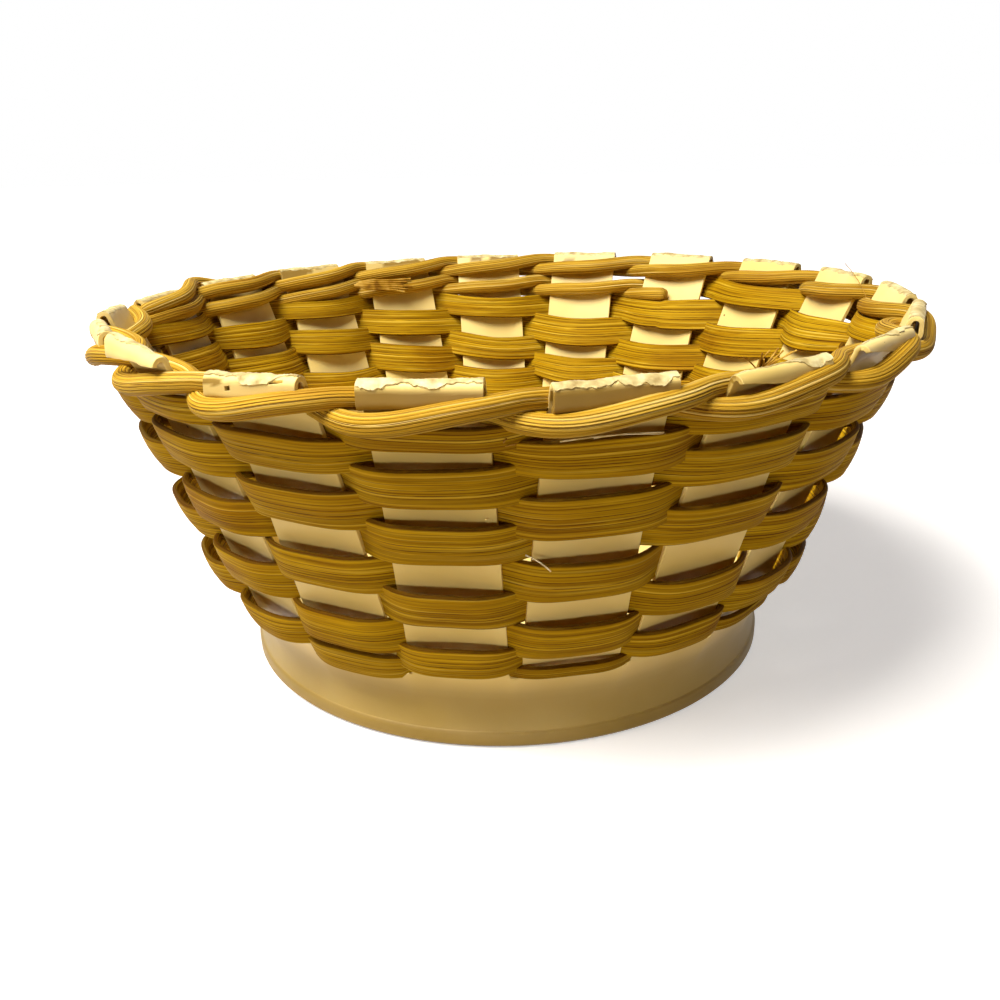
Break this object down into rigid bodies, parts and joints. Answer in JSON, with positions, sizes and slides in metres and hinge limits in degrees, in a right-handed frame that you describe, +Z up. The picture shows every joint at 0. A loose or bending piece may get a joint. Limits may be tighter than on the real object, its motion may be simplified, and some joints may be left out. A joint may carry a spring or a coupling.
{
  "type": "woven bread basket",
  "caption": "Round open basket with flat rattan woven over and under moulded plastic strips, a twined reed border, rolled strip tops and a raised foot ring.",
  "frame": {"origin": "centre of the foot ring on the surface it stands on", "axes": "+Z up, -Y towards the pictured front"},
  "size_m": [0.2427, 0.2435, 0.1079],
  "materials": {
    "moulded_plastic": "cream moulded plastic, slightly translucent, softly shiny, with melted rough crests",
    "flat_rattan": "flat split rattan, long fine grooves, satin",
    "round_reed": "round reed core, deep long grooves, satin"
  },
  "bodies": {
    "root": {"frame": "moulded_plastic", "weaver_1": "flat_rattan", "weaver_2": "flat_rattan", "weaver_3": "flat_rattan", "weaver_4": "flat_rattan", "weaver_5": "flat_rattan", "rim_weaver": "flat_rattan", "border_reed_1": "round_reed", "border_reed_2": "round_reed"}
  },
  "joints": []
}
